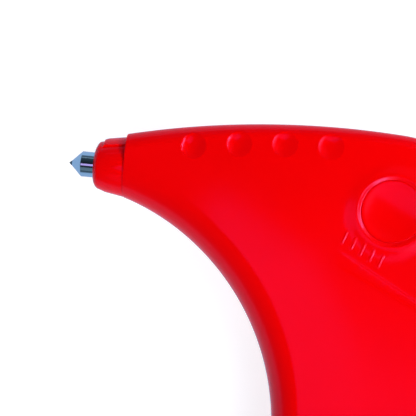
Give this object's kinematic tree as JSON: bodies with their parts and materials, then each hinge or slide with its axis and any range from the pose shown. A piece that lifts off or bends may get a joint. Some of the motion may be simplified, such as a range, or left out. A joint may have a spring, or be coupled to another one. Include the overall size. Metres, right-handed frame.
{
  "type": "linocut carving tool",
  "caption": "Red pistol-grip linocut carving tool with a round steel bit, twist collar, thumb release and spare bits in the grip.",
  "frame": {"origin": "under the middle of the tool's bounding box, on the surface its right side lies on", "axes": "+X back along the cutting bit, away from its tip; +Y from the grip towards the top edge; +Z out of the left side, upwards as it lies"},
  "size_m": [0.085, 0.096, 0.0225],
  "materials": {
    "red_plastic": "satin gloss moulded ABS",
    "polished_steel": "polished",
    "hard_steel": "ground",
    "carbide": "ground tungsten carbide",
    "brass": "turned",
    "zinc_screw": "zinc plated",
    "black_rubber": "matte",
    "dark_plastic": "matte moulded"
  },
  "bodies": {
    "handle": {"left_shell": "red_plastic", "right_shell": "red_plastic", "collet_sleeve": "brass", "collet": "hard_steel", "collar_clip": "hard_steel", "thrust_block": "brass", "thrust_pad": "hard_steel", "button_spring": "hard_steel", "spring_seat": "dark_plastic", "tray_spring": "hard_steel", "shell_screw_1": "zinc_screw", "shell_screw_2": "zinc_screw", "shell_screw_3": "zinc_screw", "shell_screw_4": "zinc_screw", "shell_screw_5": "zinc_screw"},
    "collar": {"nose_collar": "red_plastic", "collar_o_ring": "black_rubber"},
    "bit": {"bit_shank": "polished_steel", "carbide_point": "carbide"},
    "button": {"thumb_button": "red_plastic", "lock_plate": "hard_steel"},
    "tray": {"bit_tray": "dark_plastic", "butt_cap": "red_plastic", "tray_screw_1": "zinc_screw", "tray_screw_2": "zinc_screw", "spare_bit_1": "polished_steel", "spare_bit_2": "polished_steel", "spare_bit_3": "polished_steel"}
  },
  "joints": [
    {"name": "collar_twist", "type": "hinge", "parent": "handle", "child": "collar", "pos_m": [-0.0375, 0.03695, 0.011], "axis": [1, 0, 0], "range_deg": [0, 90]},
    {"name": "bit_slide", "type": "slide", "parent": "handle", "child": "bit", "axis": [-1, 0, 0], "range_m": [0, 0.03]},
    {"name": "button_press", "type": "slide", "parent": "handle", "child": "button", "axis": [0, 0, -1], "range_m": [0, 0.002], "stiffness_N_per_m": 400, "springref_m": -0.002, "deforming": ["button_spring"]},
    {"name": "tray_slide", "type": "slide", "parent": "handle", "child": "tray", "axis": [0, -1, 0], "range_m": [0, 0.044]}
  ]
}
